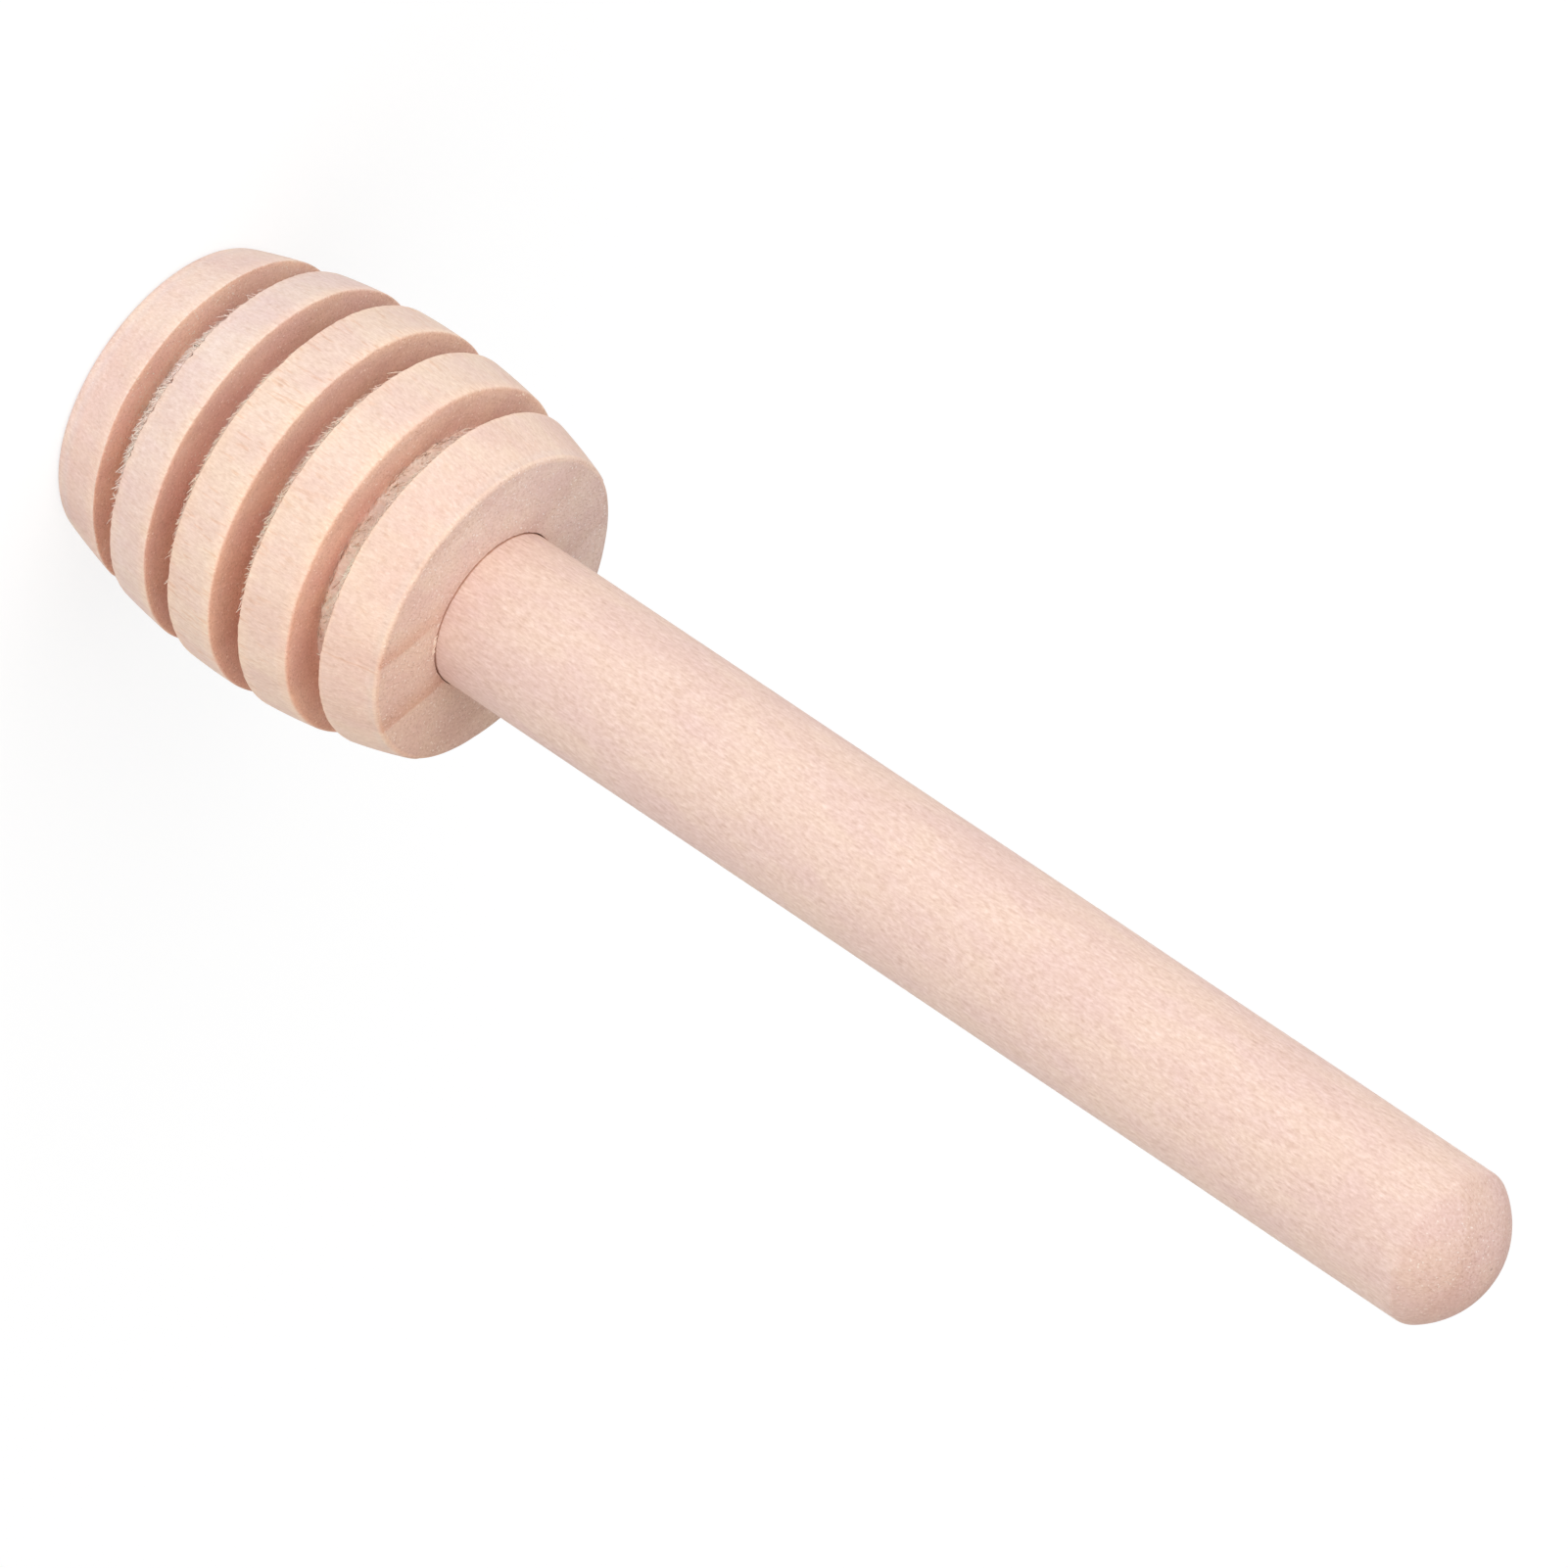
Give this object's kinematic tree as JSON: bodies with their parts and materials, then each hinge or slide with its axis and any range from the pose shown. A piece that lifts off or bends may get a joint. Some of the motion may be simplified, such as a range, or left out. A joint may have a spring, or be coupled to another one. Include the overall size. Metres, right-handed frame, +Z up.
{
  "type": "honey dipper",
  "caption": "Small turned wooden honey dipper: a barrel-shaped head with deep ring grooves, glued onto a round dowel handle with a domed end.",
  "frame": {"origin": "middle of the head's flat tip face, on which the dipper stands", "axes": "+Z up along the axis of every piece, from the head's tip to the handle's domed end; the dipper is round, so +X and +Y are free choices square to it"},
  "size_m": [0.0192, 0.0192, 0.0819],
  "materials": {
    "head_wood": "bare turned beech, sanded outside, rougher in the grooves",
    "dowel_wood": "bare sanded beech dowel",
    "dried_glue": "dried wood glue, hidden in the socket"
  },
  "bodies": {
    "root": {"dipper_head": "head_wood", "handle": "dowel_wood", "glue_film": "dried_glue"}
  },
  "joints": []
}
